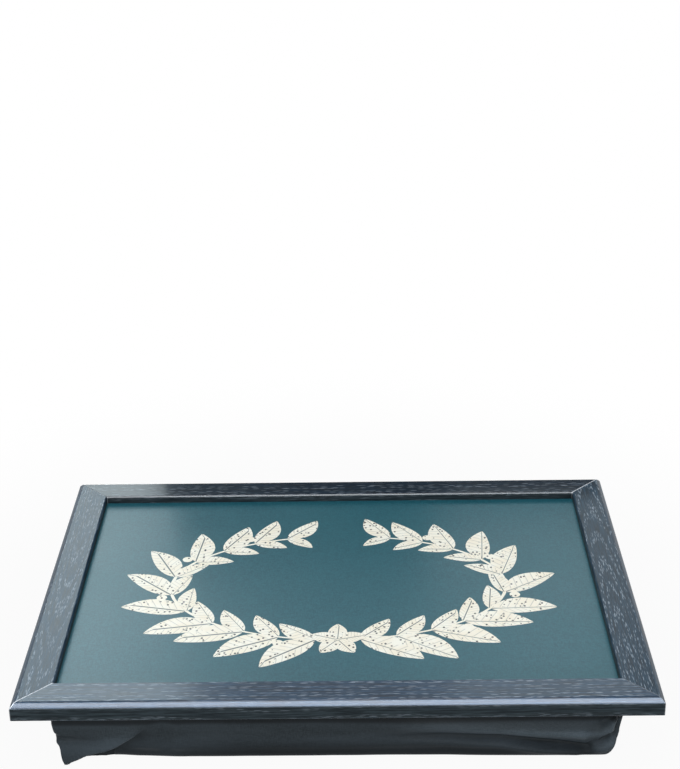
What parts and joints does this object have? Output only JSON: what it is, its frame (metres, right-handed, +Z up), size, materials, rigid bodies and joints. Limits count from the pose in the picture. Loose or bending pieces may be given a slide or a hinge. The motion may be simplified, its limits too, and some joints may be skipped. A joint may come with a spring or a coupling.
{
  "type": "lap tray",
  "caption": "Rectangular lap tray: a sealed print recessed in a mitred, stained wooden frame, on a slack bead-filled cloth cushion that levels it on the knees.",
  "frame": {"origin": "on the floor under the middle of the tray, where the cushion rests", "axes": "+X along the long side, to the user's right; -Y towards the user; +Z up"},
  "size_m": [0.465, 0.342, 0.068],
  "materials": {
    "stained_wood": "open-grain wood, charcoal stain, satin",
    "printed_laminate": "printed, sealed, satin sheen",
    "hardboard": "bare hardboard",
    "steel": "plain steel",
    "cover_cloth": "sateen weave",
    "liner_cloth": "plain weave",
    "beads": "expanded beads"
  },
  "bodies": {
    "root": {"front_rail": "stained_wood", "right_rail": "stained_wood", "back_rail": "stained_wood", "left_rail": "stained_wood", "corner_v_nails": "steel", "tray_board": "hardboard", "printed_sheet": "printed_laminate", "board_points": "steel", "hem_staples": "steel", "cushion_cover": "cover_cloth", "bead_bag": "liner_cloth", "bead_fill": "beads"}
  },
  "joints": []
}
